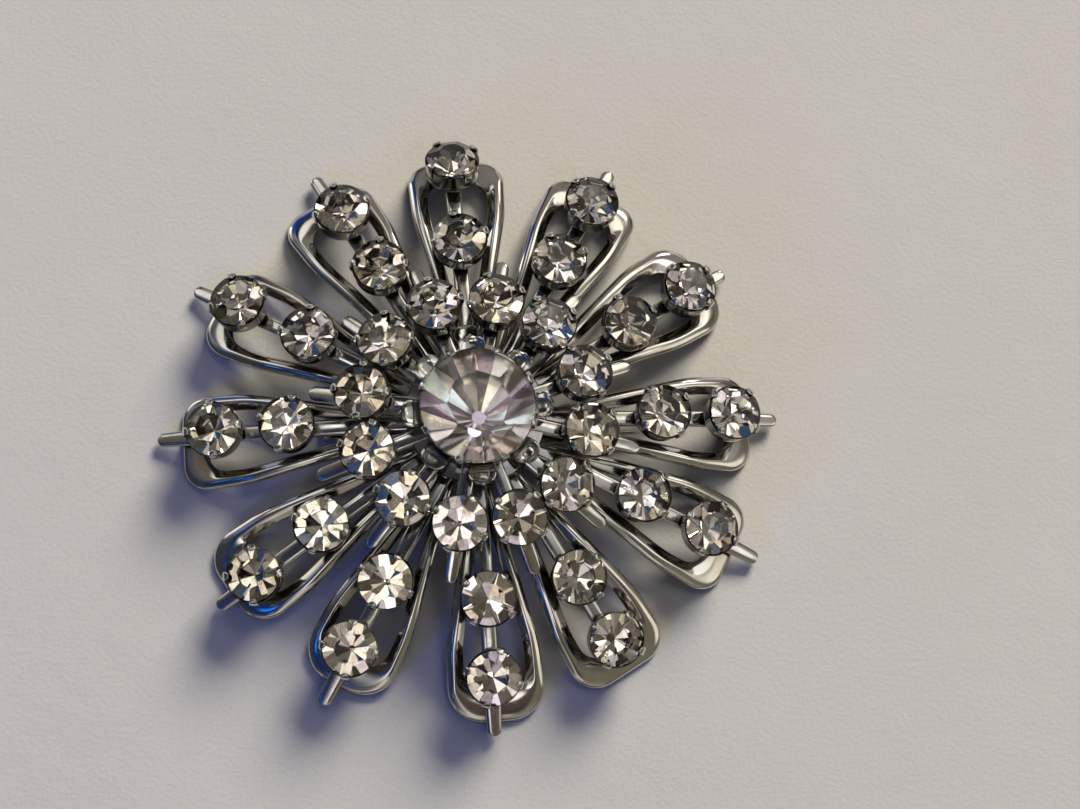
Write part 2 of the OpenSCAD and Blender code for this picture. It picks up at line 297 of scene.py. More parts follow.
def plating(name, clean, tarnished, smoothest, dullest, **amounts):
    material, tree, shader = newMaterial(name)
    wornAndShaded = addNode(tree, "ShaderNodeGroup", {"node_tree": platingWearAndShade}, **amounts)
    metal = mixColour(tree, wornAndShaded.outputs["Tarnish"], clean, tarnished)
    # painted shade: the base colour darkens in corners, as shade and dirt
    feedAll(tree, shader, Metallic=1,
            Base_Color=mixColour(tree, wornAndShaded.outputs["Grime"], metal, wearAndShade["shadeAndDirt"]),
            Roughness=mapped(tree, wornAndShaded.outputs["Dullness"], 0.0, 1.0, smoothest, dullest),
            Normal=bumpOf(tree, wornAndShaded.outputs["Height"], 1.0, wearAndShade["waveDepth"]))
    return material


# each finish: clean and tarnished metal, and how rough it is where cleanest and dullest
petalPlating = plating("petalPlating", (0.73, 0.71, 0.68), (0.50, 0.465, 0.40), 0.05, 0.28,
                       Blotch_Size_mm=5.0, Waviness=0.9, Corner_Reach_mm=3.0)
rayPlating = plating("rayPlating", (0.70, 0.69, 0.67), (0.48, 0.445, 0.39), 0.07, 0.30,
                     Blotch_Size_mm=3.0, Corner_Reach_mm=2.6)
shortRayPlating = plating("shortRayPlating", (0.74, 0.73, 0.71), (0.38, 0.35, 0.30), 0.06, 0.28,
                          Blotch_Size_mm=3.0, Corner_Reach_mm=2.0)
settingPlating = plating("settingPlating", (0.68, 0.67, 0.65), (0.46, 0.43, 0.38), 0.07, 0.26,
                         Blotch_Size_mm=2.5, Corner_Reach_mm=1.1)
# painted shade: the cup walls' metal is dark, partly as oxide and partly as the shade they mirror
cupPlating = plating("cupPlating", (0.22, 0.205, 0.185), (0.11, 0.095, 0.08), 0.10, 0.34,
                     Blotch_Size_mm=2.0, Corner_Reach_mm=1.6)
pinPlating = plating("pinPlating", (0.60, 0.59, 0.57), (0.40, 0.36, 0.29), 0.16, 0.42,
                     Blotch_Size_mm=8.0)


# the faint rubs on polished facets, and the patches in which the silver foil has aged
glassLook = {
    "rubScale": 2600.0,
    "rubRange": (0.5, 0.8, 0.0, 0.05),
    "rubBump": (0.06, 0.00001),
    "hueScale": 140.0,
    "clear": (0.97, 0.97, 0.96),
    "bend": 1.56,
}
foilLook = {
    "patchScale": 420.0,
    "agedRange": (0.45, 0.7),
    "dullRange": (0.4, 0.8),
}


def cutGlass(name, tint):
    material, tree, shader = newMaterial(name)
    place = ownPlace(tree)
    rubs = noise(tree, place, glassLook["rubScale"], 6.0, 0.7)
    hue = noise(tree, place, glassLook["hueScale"], 0.0)
    feedAll(tree, shader, IOR=glassLook["bend"], Transmission_Weight=1,
            Base_Color=mixColour(tree, hue, tint, glassLook["clear"]),
            Roughness=mapped(tree, rubs, *glassLook["rubRange"]),
            Normal=bumpOf(tree, rubs, *glassLook["rubBump"]))
    return material


def stoneFoil(name, silver, aged, smoothest, dullest):
    material, tree, shader = newMaterial(name)
    patches = noise(tree, ownPlace(tree), foilLook["patchScale"], 4.0, 0.65)
    hue = addNode(tree, "ShaderNodeAttribute", {"attribute_name": "foilHue"})
    colour = mixColour(tree, mapped(tree, patches, *foilLook["agedRange"]), silver, aged)
    feedAll(tree, shader, Metallic=1,
            Base_Color=mixColour(tree, 1.0, colour, hue.outputs["Color"], "MULTIPLY"),
            Roughness=mapped(tree, patches, *foilLook["dullRange"], smoothest, dullest))
    return material


smallGlass = cutGlass("smallStoneGlass", (0.93, 0.92, 0.88))
largeGlass = cutGlass("largeStoneGlass", (0.95, 0.94, 0.93))
smallFoil = stoneFoil("smallStoneFoil", (0.93, 0.92, 0.89), (0.70, 0.65, 0.56), 0.04, 0.10)
largeFoil = stoneFoil("largeStoneFoil", (0.90, 0.89, 0.88), (0.84, 0.82, 0.79), 0.12, 0.16)


print("petals")

petals = {
    "reach": 29.0,
    "width": 10.0,
    "rootReach": 5.4,
    "rootWidth": 1.9,
    "bellyReach": 22.5,
    "bellyIn": 0.25,
    "bellyBend": 14.0,
    "cornerRadius": 2.5,
    "ridgeIn": 0.45,
    "ridgeRootIn": 0.2,
    "openingRoot": 9.4,
    "openingRootWidth": 0.7,
    "openingWidth": 6.15,
    "openingBellyIn": 0.05,
    "openingCorner": 1.5,
    "openingFollows": 0.6,  # the share of a petal's roundness that its opening takes on
    "endBand": 2.7,
    "top": 4.4,
    "sheet": 0.4,
    "rimFall": 0.35,
    "hubRadius": 6.2,
    "hubThick": 0.5,
    "hubEdge": 0.1,
    "hubSunk": 0.02,
    "firstAngle": 94.0,
    # each petal's turn, and how much longer, wider and rounder it is, as bent by hand
    "bends": (
        (0.0, -0.3, 0.1, 0.0), (-1.0, -0.3, 0.1, -0.3), (1.0, 0.1, 0.5, 0.6),
        (-1.5, -0.6, 0.1, 0.0), (1.2, 0.1, 0.3, 0.0), (-1.0, 0.1, 0.5, 0.4),
        (1.5, 0.6, -0.1, 1.0), (-0.6, 0.2, -0.3, 1.1), (1.0, 0.3, 0.0, 0.6),
        (0.0, 0.1, -0.2, 0.0), (0.0, -0.1, -0.3, 0.3), (-0.4, -0.2, 0.1, 0.0),
    ),
    "swell": 0.5,           # how far the middle of a petal stands above an even bend
    "swellFrom": 8.0,
    "endFrom": 23.6,        # where the band starts to flatten and to bend down over the end
    # points of an outline up to the bend, round it, on to the corner, round it and along the end
    "steps": (8, 4, 3, 12, 3),
    # across the band, from under the rim over its roll to under the opening's edge: a share of the
    # way out from the ridge to the rim or in from the ridge to the opening, the fall along the
    # sides, and the fall at the end
    "band": (
        (-0.90, 0.74, 0.74), (-1.00, 0.68, 0.68), (-1.00, 0.50, 0.46), (-0.98, 0.41, 0.36),
        (-0.92, 0.33, 0.28), (-0.82, 0.265, 0.21), (-0.68, 0.21, 0.155), (-0.48, 0.16, 0.115),
        (-0.24, 0.115, 0.085), (0.00, 0.075, 0.065), (0.14, 0.03, 0.05), (0.28, 0.015, 0.042),
        (0.40, 0.035, 0.045), (0.52, 0.10, 0.058), (0.66, 0.195, 0.09), (0.82, 0.315, 0.135),
        (0.96, 0.425, 0.185), (0.99, 0.455, 0.20), (1.00, 0.48, 0.22), (1.00, 0.72, 0.46),
        (0.97, 0.77, 0.51), (0.60, 0.52, 0.42), (0.25, 0.40, 0.40), (0.00, 0.46, 0.46),
        (-0.45, 0.58, 0.58),
    ),
}


def cornerArc(a, b, c, radius, steps):
    # the round between the sides a-b and b-c of a corner
    u = (a - b).normalized()
    v = (c - b).normalized()
    half = math.acos(u.dot(v)) / 2
    middle = b + (u + v).normalized() * radius / math.sin(half)
    first = b + u * radius / math.tan(half) - middle
    last = b + v * radius / math.tan(half) - middle
    start = math.atan2(first.y, first.x)
    turn = (math.atan2(last.y, last.x) - start + 3 * math.pi) % math.tau - math.pi
    arc = []
    for i in range(steps + 1):
        angle = start + turn * i / steps
        arc.append(middle + radius * Vector((math.cos(angle), math.sin(angle))))
    return arc


def between(a, b, count):
    return [a + (b - a) * i / (count + 1) for i in range(1, count + 1)]


def petalOutline(root, belly, end, cornerRadius):
    toBend, roundBend, toCorner, roundCorner, alongEnd = petals["steps"]
    middle = Vector((end.x, 0))
    bend = cornerArc(root, belly, end, petals["bellyBend"], roundBend)
    corner = cornerArc(belly, end, middle, cornerRadius, roundCorner)
    side = [root] + between(root, bend[0], toBend) + bend
    side += between(bend[-1], corner[0], toCorner) + corner + between(corner[-1], middle, alongEnd)
    return [Vector((p.x, -p.y)) for p in reversed(side)] + side


def petal(reach, half, rounder):
    # a band round the opening, dished between a rolled rim and the opening's edge
    p = petals
    belly = p["bellyReach"]
    corner = p["cornerRadius"] + rounder
    ridgeIn = p["ridgeIn"]
    rim = petalOutline(Vector((p["rootReach"], p["rootWidth"] / 2)),
                       Vector((belly, half - p["bellyIn"])), Vector((reach, half)), corner)
    ridge = petalOutline(Vector((p["rootReach"] + ridgeIn, p["rootWidth"] / 2 - p["ridgeRootIn"])),
                         Vector((belly, half - p["bellyIn"] - ridgeIn)),
                         Vector((reach - ridgeIn, half - ridgeIn)), corner - ridgeIn)
    openHalf = p["openingWidth"] / 2
    opening = petalOutline(Vector((p["openingRoot"], p["openingRootWidth"] / 2)),
                           Vector((belly, openHalf - p["openingBellyIn"])),
                           Vector((reach - p["endBand"], openHalf)),
                           p["openingCorner"] + rounder * p["openingFollows"])
    endHalf = half - p["cornerRadius"]
    far = math.hypot(reach, endHalf)
    droop = (p["top"] - p["rimFall"] - p["sheet"]) / (far * far)
    rings = []
    for share, sideFall, endFall in p["band"]:
        ring = []
        for outer, top, inner in zip(rim, ridge, opening):
            spot = top + (inner - top) * share if share > 0 else top + (outer - top) * -share
            ending = (inner.x - p["endFrom"]) / (reach - p["endBand"] - p["endFrom"])
            ending = min(1.0, max(0.0, ending))
            ending = ending * ending * (3 - 2 * ending)
            fall = sideFall + (endFall - sideFall) * ending
            along = max(0.0, (spot.length - p["swellFrom"]) / (far - p["swellFrom"]))
            swell = p["swell"] * math.sin(math.pi * along)
            height = p["top"] - droop * spot.length_squared + swell - fall
            ring.append(Vector((spot.x, spot.y, height)))
        rings.append(ring)
    return skin(rings, loop=True)


def makePetalPlate():
    shapes = []
    for k, (turn, longer, wider, rounder) in enumerate(petals["bends"]):
        angle = petals["firstAngle"] - 360 / arms * k + turn
        shape = petal(petals["reach"] + longer, (petals["width"] + wider) / 2, rounder)
        shapes.append(moved(shape, turned(angle)))
    edge = petals["hubEdge"]
    shapes.append(disc(petals["hubRadius"], petals["top"] - petals["hubThick"],
                       petals["top"] - petals["hubSunk"], edge, edge))
    return newObject("petalPlate", together(shapes), [petalPlating])


petalPlate = makePetalPlate()


print("cups and claws")

cups = {
    "claws": 4,
    "culet": 0.75,          # height of the stone's point over the ray
    "ownTurn": 37.0,        # each cup is turned on by this much from the one before
    "ringTurn": 19.0,
    # from the foot up the outside, in under the stone's edge and down to the floor: radius, height
    "wall": (
        (0.0, -0.12), (1.6, -0.12), (1.68, -0.04), (1.70, 0.06), (1.90, 0.14), (2.20, 0.28),
        (2.42, 0.44), (2.54, 0.58), (2.61, 0.74), (2.645, 0.95), (2.68, 1.25), (2.72, 1.70),
        (2.76, 2.20), (2.785, 2.56), (2.80, 2.66), (2.785, 2.73), (2.74, 2.76), (2.69, 2.74),
        (2.67, 2.66), (2.64, 2.40), (2.2, 1.70), (1.2, 0.60), (0.0, 0.50),
    ),
    # along a claw: radius, height, half its width, half its thickness
    "claw": (
        (2.77, 1.70, 0.28, 0.05), (2.81, 1.95, 0.40, 0.10), (2.85, 2.30, 0.43, 0.125),
        (2.89, 2.62, 0.43, 0.135), (2.90, 2.86, 0.43, 0.14), (2.85, 3.02, 0.43, 0.14),
        (2.73, 3.13, 0.42, 0.14), (2.58, 3.22, 0.39, 0.135), (2.46, 3.295, 0.32, 0.12),
        (2.38, 3.34, 0.22, 0.09), (2.335, 3.365, 0.08, 0.04),
    ),
}


clawSection = {"points": 16, "power": 0.6}     # a power of 1 makes an oval, and less a square


def sweptClaw(rows):
    # a flat strip bent along its rows, with round edges
    rings = []
    for i, (radius, height, halfWidth, halfThick) in enumerate(rows):
        along = wayAlong(rows, i)
        out = Vector((along.z, 0, -along.x))
        ring = []
        for point in circle(1.0, clawSection["points"]):
            x, y = (math.copysign(abs(part) ** clawSection["power"], part) for part in point.xy)
            ring.append(Vector((radius, y * halfWidth, height)) + out * x * halfThick)
        rings.append(ring)
    return skin(rings, caps=True)


def endTree(tree, ins, outs, geometry):
    # plain mesh in the finish that the tree is given
    solid = addNode(tree, "GeometryNodeRealizeInstances", Geometry=geometry)
    finished = addNode(tree, "GeometryNodeSetMaterial", Geometry=solid.outputs[0],
                       Material=ins.outputs["Finish"])
    feed(tree, outs.inputs[0], finished.outputs[0])
    return tree


def makeRingTree():
    # copies of a piece set round an axis, joined to what is there already
    tree, ins, outs = newTree("setRoundAxis", "GeometryNodeTree", [
        ("Geometry", "NodeSocketGeometry", None),
        ("Piece", "NodeSocketObject", None),
        ("Count", "NodeSocketInt", 4),
        ("First Turn", "NodeSocketFloat", 0.0),
        ("Finish", "NodeSocketMaterial", None),
    ], [("Geometry", "NodeSocketGeometry")])
    line = addNode(tree, "GeometryNodeMeshLine", Count=ins.outputs["Count"], Offset=(0, 0, 0))
    piece = addNode(tree, "GeometryNodeObjectInfo", Object=ins.outputs["Piece"])
    index = addNode(tree, "GeometryNodeInputIndex")
    share = maths(tree, "DIVIDE", index.outputs[0], ins.outputs["Count"])
    angle = maths(tree, "MULTIPLY_ADD", share, math.tau, ins.outputs["First Turn"])
    turn = addNode(tree, "ShaderNodeCombineXYZ", Z=angle)
    copies = addNode(tree, "GeometryNodeInstanceOnPoints", Points=line.outputs[0],
                     Instance=piece.outputs["Geometry"], Rotation=turn.outputs[0])
    joined = addNode(tree, "GeometryNodeJoinGeometry")
    feed(tree, joined.inputs[0], ins.outputs["Geometry"])
    feed(tree, joined.inputs[0], copies.outputs[0])
    return endTree(tree, ins, outs, joined.outputs[0])


def makeSeatTree():
    # one copy of a cup on each seat, turned as the seat's own attribute says
    tree, ins, outs = newTree("cupsOnSeats", "GeometryNodeTree", [
        ("Geometry", "NodeSocketGeometry", None),
        ("Cup", "NodeSocketObject", None),
        ("Finish", "NodeSocketMaterial", None),
    ], [("Geometry", "NodeSocketGeometry")])
    cup = addNode(tree, "GeometryNodeObjectInfo", Object=ins.outputs["Cup"])
    turn = addNode(tree, "GeometryNodeInputNamedAttribute", {"data_type": "QUATERNION"},
                   Name="seatTurn")
    copies = addNode(tree, "GeometryNodeInstanceOnPoints", Points=ins.outputs["Geometry"],
                     Instance=cup.outputs["Geometry"], Rotation=turn.outputs[0])
    return endTree(tree, ins, outs, copies.outputs[0])


def grown(start, tree, **inputs):
    # runs a tree on an object and hands back the mesh that it makes; the object is used up
    modifier = start.modifiers.new(tree.name, "NODES")
    modifier.node_group = tree
    for item in tree.interface.items_tree:
        key = item.name.replace(" ", "_")
        if item.item_type == "SOCKET" and item.in_out == "INPUT" and key in inputs:
            modifier[item.identifier] = inputs[key]
    graph = bpy.context.evaluated_depsgraph_get()
    mesh = bpy.data.meshes.new_from_object(start.evaluated_get(graph))
    start.modifiers.remove(modifier)
    bpy.data.objects.remove(start)
    return mesh


def seatOf(node, turn, culetHeight):
    # a stone's seat from its solid: the way that its table faces, and outwards along its ray
    bm = bmesh.new()
    bm.from_mesh(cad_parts[node].data)
    bmesh.ops.remove_doubles(bm, verts=bm.verts, dist=0.0001 * mm)
    bmesh.ops.dissolve_limit(bm, angle_limit=math.radians(2), verts=bm.verts, edges=bm.edges)
    axis = max(bm.faces, key=lambda face: face.calc_area()).normal.normalized()
    culet = min((v.co for v in bm.verts), key=lambda co: co.dot(axis)) / mm
    out = Vector((culet.x, culet.y, 0)).normalized()
    out = (out - axis * out.dot(axis)).normalized()
    side = axis.cross(out)
    bm.free()
    seat = Matrix((out, side, axis)).transposed().to_4x4()
    seat.translation = culet - axis * culetHeight
    return seat @ turned(turn)


def stoneNodes(*rings):
    return [f"{ring}_stone_{k:02d}" for ring in rings for k in range(1, arms + 1)]


ringTree = makeRingTree()
seatTree = makeSeatTree()
seats = {}
for ringNumber, ringName in enumerate(("inner", "middle", "outer")):
    for k, node in enumerate(stoneNodes(ringName)):
        ownTurn = cups["ownTurn"] * (k + 1) + cups["ringTurn"] * ringNumber
        seats[node] = seatOf(node, ownTurn, cups["culet"])


def makeClaws(finish):
    claw = newObject("claw", sweptClaw(cups["claw"]), [finish])
    holder = newObject("clawHolder", ([], []), [finish], weld=0)
    mesh = grown(holder, ringTree, Piece=claw, Count=cups["claws"],
                 First_Turn=math.pi / cups["claws"], Finish=finish)
    bpy.data.objects.remove(claw)
    return asPiece("claws", mesh)


def onSeats(names, cup, finish):
    # a cup or its claws on every seat of one star, as one mesh
    points = [seats[name].translation for name in names]
    holder = newObject("seats", (points, []), [finish], weld=0)
    turns = holder.data.attributes.new("seatTurn", "QUATERNION", "POINT")
    for value, name in zip(turns.data, names):
        value.value = seats[name].to_quaternion()
    mesh = grown(holder, seatTree, Cup=cup, Finish=finish)
    bpy.data.objects.remove(cup)
    return mesh


def joinedPiece(name, parts):
    # one piece from meshes that have their own finishes
    bm = bmesh.new()
    finishes = []
    for mesh, finish in parts:
        start = len(bm.faces)
        bm.from_mesh(mesh)
        if finish not in finishes:
            finishes.append(finish)
        bm.faces.ensure_lookup_table()
        for face in bm.faces[start:]:
            face.material_index = finishes.index(finish)
    joined = bpy.data.meshes.new(name)
    bm.to_mesh(joined)
    bm.free()
    for finish in finishes:
        joined.materials.append(finish)
    return asPiece(name, joined)


def starPiece(name, shape, finish, names):
    # the rays of a star, their cups' claws, and the cups' walls, whose darker finish is partly
    # oxide and partly painted shade
    rays = newObject("rays", shape, [finish])
    wall = newObject("cupWall", lathe(cups["wall"], loop=False), [cupPlating])
    claws = onSeats(names, makeClaws(finish), finish)
    walls = onSeats(names, wall, cupPlating)
    piece = joinedPiece(name, [(rays.data, finish), (claws, finish), (walls, cupPlating)])
    bpy.data.objects.remove(rays)
    return piece


print("rays")

longRays = {
    "width": 1.6,
    "reach": 31.17,
    "rootReach": 4.0,
    "domeTop": 5.05,
    "domeRadius": 125.0,
    "hubRadius": 6.0,
    "hubLow": 4.4,
    "hubTop": 5.0,
    "hubEdges": (0.1, 0.12),
    "bendFrom": 24.0,
    "bends": {1: 7.0, 6: 5.0},      # degrees that a ray's end is turned down
    "taperFrom": 28.5,
    "tipWidth": 1.44,
    "tipLength": 0.9,
    "tipPower": 0.8,
    "tipShifts": (-3.6, 0.2, 0.0, 0.0, 0.5, -3.0, -0.1, 0.4, 0.0, 0.4, 0.5, 0.0),
}
shortRays = {
    "width": 1.6,
    "reach": 16.7,
    "taperFrom": 12.0,
    "tipWidth": 1.5,
    "tipLength": 1.0,
    "tipPower": 0.85,
    "rootReach": 4.6,
    "domeTop": 8.0,
    "domeRadius": 58.0,
    "boreRadius": 3.8,
    # the hub's section: distance from the axis, depth under the dome
    "hub": (
        (3.8, 0.40), (3.8, 0.12), (3.9, 0.05), (5.2, 0.05), (6.2, 0.05), (6.88, 0.05), (7.0, 0.16),
        (7.0, 0.38), (6.2, 0.43), (5.2, 0.43),
    ),
    "collarRadius": 4.8,
    "collarEdge": 0.1,
    "collarLow": 5.0,
    "collarTop": 7.6,
}
tag = {
    "reach": 9.0,
    "length": 2.6,
    "width": 2.0,
    "ray": 1,
    # how far in each ring of its edge lies, and its height over the ray
    "edge": ((0.1, -0.3), (0.0, -0.2), (0.0, 0.2), (0.04, 0.26), (0.12, 0.30), (0.5, 0.31),
             (0.98, 0.31)),
}

strips = {
    # half of the section, from the middle of its top to the middle of its underside: a share of the
    # half width, and the depth under the top
    "section": ((0.0, 0.0), (0.35, 0.004), (0.62, 0.02), (0.80, 0.05), (0.92, 0.10), (1.0, 0.19),
                (1.0, 0.36), (0.93, 0.43), (0.6, 0.45), (0.0, 0.45)),
    "steps": 26,
    "tipSteps": 10,
    "tipTurn": 87,          # degrees round the tip, a little short of its very end
}


def domeStation(reach, top, radius):
    # a place on a dome: distance from the axis, height, and the slope down outwards
    height = top - radius + math.sqrt(radius * radius - reach * reach)
    return reach, height, math.asin(reach / radius)


def bentStation(station, bendFrom, bend, top, radius):
    # the same place once the strip past bendFrom is turned down
    reach, height, slope = station
    if bend == 0 or reach <= bendFrom:
        return station
    pivot = domeStation(bendFrom, top, radius)
    angle = math.radians(bend)
    x = reach - pivot[0]
    z = height - pivot[1]
    return (pivot[0] + x * math.cos(angle) + z * math.sin(angle),
            pivot[1] - x * math.sin(angle) + z * math.cos(angle), slope + angle)


def strip(sizes, reach, bend=0.0):
    # a flat ray with soft edges that narrows to a round tip
    half = sizes["width"] / 2
    tipHalf = sizes["tipWidth"] / 2
    tip = tipHalf * sizes["tipLength"]
    straight = reach - tip
    places = []
    for i in range(strips["steps"] + 1):
        place = sizes["rootReach"] + (straight - sizes["rootReach"]) * i / strips["steps"]
        taper = max(0.0, (place - sizes["taperFrom"]) / max(0.1, straight - sizes["taperFrom"]))
        places.append((place, half + (tipHalf - half) * taper))
    for i in range(1, strips["tipSteps"] + 1):
        angle = math.radians(strips["tipTurn"] * i / strips["tipSteps"])
        places.append((straight + tip * math.sin(angle) ** sizes["tipPower"],
                       tipHalf * math.cos(angle) ** sizes["tipPower"]))
    rings = []
    for place, halfWidth in places:
        station = domeStation(place, sizes["domeTop"], sizes["domeRadius"])
        station = bentStation(station, sizes.get("bendFrom", 0), bend, sizes["domeTop"],
                              sizes["domeRadius"])
        x, z, slope = station
        down = Vector((-math.sin(slope), 0, -math.cos(slope)))
        right = [Vector((x, 0, z)) + down * depth + Vector((0, share * halfWidth, 0))
                 for share, depth in strips["section"]]
        left = [Vector((p.x, -p.y, p.z)) for p in reversed(right[1:-1])]
        rings.append(right + left)
    return skin(rings, caps=True)


def armAngle(node):
    seat = seats[node].translation
    return math.degrees(math.atan2(seat.y, seat.x))


def tagShape(node):
    # a small blank plate with round ends, laid across a ray
    shape = roundEnded(tag["length"], tag["width"], tag["edge"], 40)
    x, z, slope = domeStation(tag["reach"], longRays["domeTop"], longRays["domeRadius"])
    place = turned(armAngle(node)) @ Matrix.Translation((x, 0, z)) @ Matrix.Rotation(slope, 4, "Y")
    return moved(shape, place @ turned(90))


def makeRayStar():
    shapes = []
    outerNodes = stoneNodes("outer")
    for k, node in enumerate(outerNodes):
        reach = longRays["reach"] + longRays["tipShifts"][k]
        shape = strip(longRays, reach, longRays["bends"].get(k + 1, 0.0))
        shapes.append(moved(shape, turned(armAngle(node))))
    shapes.append(disc(longRays["hubRadius"], longRays["hubLow"], longRays["hubTop"],
                       *longRays["hubEdges"]))
    shapes.append(tagShape(outerNodes[tag["ray"] - 1]))
    return starPiece("rayStar", together(shapes), rayPlating, stoneNodes("middle", "outer"))


def makeInnerStar():
    shapes = []
    s = shortRays
    nodes = stoneNodes("inner")
    for node in nodes:
        shapes.append(moved(strip(s, s["reach"]), turned(armAngle(node))))
    profile = []
    for reach, depth in s["hub"]:
        x, z, slope = domeStation(reach, s["domeTop"], s["domeRadius"])
        profile.append((x, z - depth))
    shapes.append(lathe(profile, steps=96))
    bore = s["boreRadius"]
    collar = s["collarRadius"]
    low = s["collarLow"]
    edge = s["collarEdge"]
    shapes.append(lathe([(bore, low), (collar - edge, low), (collar, low + edge),
                         (collar, s["collarTop"]), (bore, s["collarTop"])], steps=72))
    return starPiece("innerStar", together(shapes), shortRayPlating, nodes)


rayStar = makeRayStar()
innerStar = makeInnerStar()


print("middle setting")

setting = {
    "leaves": 8,
    "firstTurn": 5.0,
    # along a leaf's middle line: distance from the axis, height, half its width, how far its sides
    # curl up
    "leaf": (
        (3.40, 8.35, 0.90, 0.00), (4.30, 8.80, 1.00, 0.04), (5.10, 9.16, 1.12, 0.11),
        (5.70, 9.35, 1.24, 0.19), (6.15, 9.43, 1.32, 0.25), (6.55, 9.47, 1.35, 0.28),
        (6.85, 9.50, 1.30, 0.28), (7.10, 9.55, 1.18, 0.26), (7.30, 9.62, 1.02, 0.22),
        (7.46, 9.695, 0.82, 0.17), (7.57, 9.765, 0.58, 0.11), (7.64, 9.83, 0.32, 0.06),
        (7.66, 9.86, 0.12, 0.02),
    ),
    "leafThick": 0.22,
    "leafCurve": 2.6,       # how late the sides start to curl
    "leafEdge": 0.09,       # what the soft edge takes off each face
    "leafEdgeFrom": 0.88,   # the share of the half width where it starts
    "leafSteps": 16,
    "bowl": (
        (3.0, 5.0), (3.45, 5.0), (3.5, 5.08), (3.5, 8.2), (3.62, 8.42), (4.6, 9.35), (5.45, 10.25),
        (5.62, 10.55), (5.66, 10.75), (5.66, 11.05), (5.63, 11.13), (5.56, 11.16), (5.48, 11.12),
        (5.44, 11.02), (5.42, 10.72), (4.4, 9.6), (3.1, 8.5), (3.0, 8.35),
    ),
    "claw": (
        (5.60, 10.30, 0.26, 0.06), (5.72, 10.60, 0.38, 0.10), (5.84, 10.95, 0.42, 0.13),
        (5.93, 11.25, 0.42, 0.14), (5.96, 11.50, 0.42, 0.14), (5.92, 11.68, 0.42, 0.14),
        (5.80, 11.80, 0.41, 0.14), (5.65, 11.89, 0.38, 0.135), (5.52, 11.96, 0.31, 0.12),
        (5.45, 12.00, 0.21, 0.09), (5.415, 12.02, 0.08, 0.04),
    ),
}


def leafShape():
    # a rounded leaf, cupped like a spoon
    rows = setting["leaf"]
    steps = setting["leafSteps"]
    edgeFrom = setting["leafEdgeFrom"]
    rings = []
    for i, (radius, height, halfWidth, curl) in enumerate(rows):
        along = wayAlong(rows, i)
        up = Vector((-along.z, 0, along.x))
        over = []
        under = []
        for j in range(steps + 1):
            share = -1 + 2 * j / steps
            rise = up * curl * abs(share) ** setting["leafCurve"]
            spot = Vector((radius, share * halfWidth, height)) + rise
            edge = setting["leafEdge"] * max(0.0, (abs(share) - edgeFrom) / (1 - edgeFrom)) ** 2
            over.append(spot + up * (setting["leafThick"] - edge))
            under.append(spot + up * edge)
        rings.append(over + list(reversed(under)))
    return skin(rings, caps=True)


def makeCentreSetting():
    count = setting["leaves"]
    leaf = newObject("leaf", leafShape(), [settingPlating])
    claw = newObject("settingClaw", sweptClaw(setting["claw"]), [rayPlating])
    bowl = newObject("bowl", lathe(setting["bowl"], steps=96), [settingPlating])
    first = math.radians(setting["firstTurn"])
    withLeaves = grown(bowl, ringTree, Piece=leaf, Count=count, First_Turn=first,
                       Finish=settingPlating)
    holder = newObject("clawHolder", ([], []), [rayPlating], weld=0)
    claws = grown(holder, ringTree, Piece=claw, Count=count, First_Turn=first + math.pi / count,
                  Finish=rayPlating)
    bpy.data.objects.remove(leaf)
    bpy.data.objects.remove(claw)
    return joinedPiece("centreSetting", [(withLeaves, settingPlating), (claws, rayPlating)])


centreSetting = makeCentreSetting()


print("pin")

pin = {
    "length": 30.0,
    "width": 3.0,
    "thick": 0.6,
    "edge": 0.15,
    "top": 2.1,
    "bossRadius": 3.0,
    "bossTop": 3.9,
    "bossSunk": 0.3,
    "stemWidth": 0.9,
    "stemHeight": 1.2,
    "point": 3.0,
    "pointRows": ((0.4, 0.315), (0.8, 0.1575), (1.0, 0.08)),    # share of the point, radius
    "knuckleRadius": 0.9,
    "softEdge": 0.1,        # of the knuckle and of the boss
    # from the knuckle's middle: place and depth of the groove on each side
    "grooves": ((0.61, 0.0), (0.68, 0.12), (0.75, 0.0)),
    "catchInner": 0.62,
    "catchOuter": 1.0,
    "catchWidth": 2.4,
    "catchInset": 1.0,
    "catchOpening": 70.0,
    "catchEdge": 0.08,
    "catchSteps": 32,
}


def tube(stations, steps=20):
    # round sections along X: place, radius
    return skin([[Vector((x, p.x, p.y)) for p in circle(radius, steps)] for x, radius in stations],
                caps=True)


def barShape():
    # the flat bar, with soft edges and round ends
    low = pin["top"] - pin["thick"]
    edge = pin["edge"]
    levels = ((edge, low), (0.0, low + edge), (0.0, pin["top"] - edge), (edge, pin["top"]))
    return roundEnded(pin["length"], pin["width"], levels, 48)


def catchShape():
    # an open hook that the stem's point goes into
    rings = []
    opening = math.radians(pin["catchOpening"])
    start = pin["length"] / 2 - pin["catchWidth"] - pin["catchInset"]
    edge = pin["catchEdge"]
    inner = pin["catchInner"]
    outer = pin["catchOuter"]
    width = pin["catchWidth"]
    section = ((0, inner + edge), (0, outer - edge), (edge, outer), (width - edge, outer),
               (width, outer - edge), (width, inner + edge), (width - edge, inner), (edge, inner))
    for i in range(pin["catchSteps"] + 1):
        angle = opening / 2 + (math.tau - opening) * i / pin["catchSteps"]
        around = Vector((0, math.cos(angle), -math.sin(angle)))
        rings.append([Vector((start + x, 0, pin["stemHeight"])) + around * r for x, r in section])
    return skin(rings, caps=True)


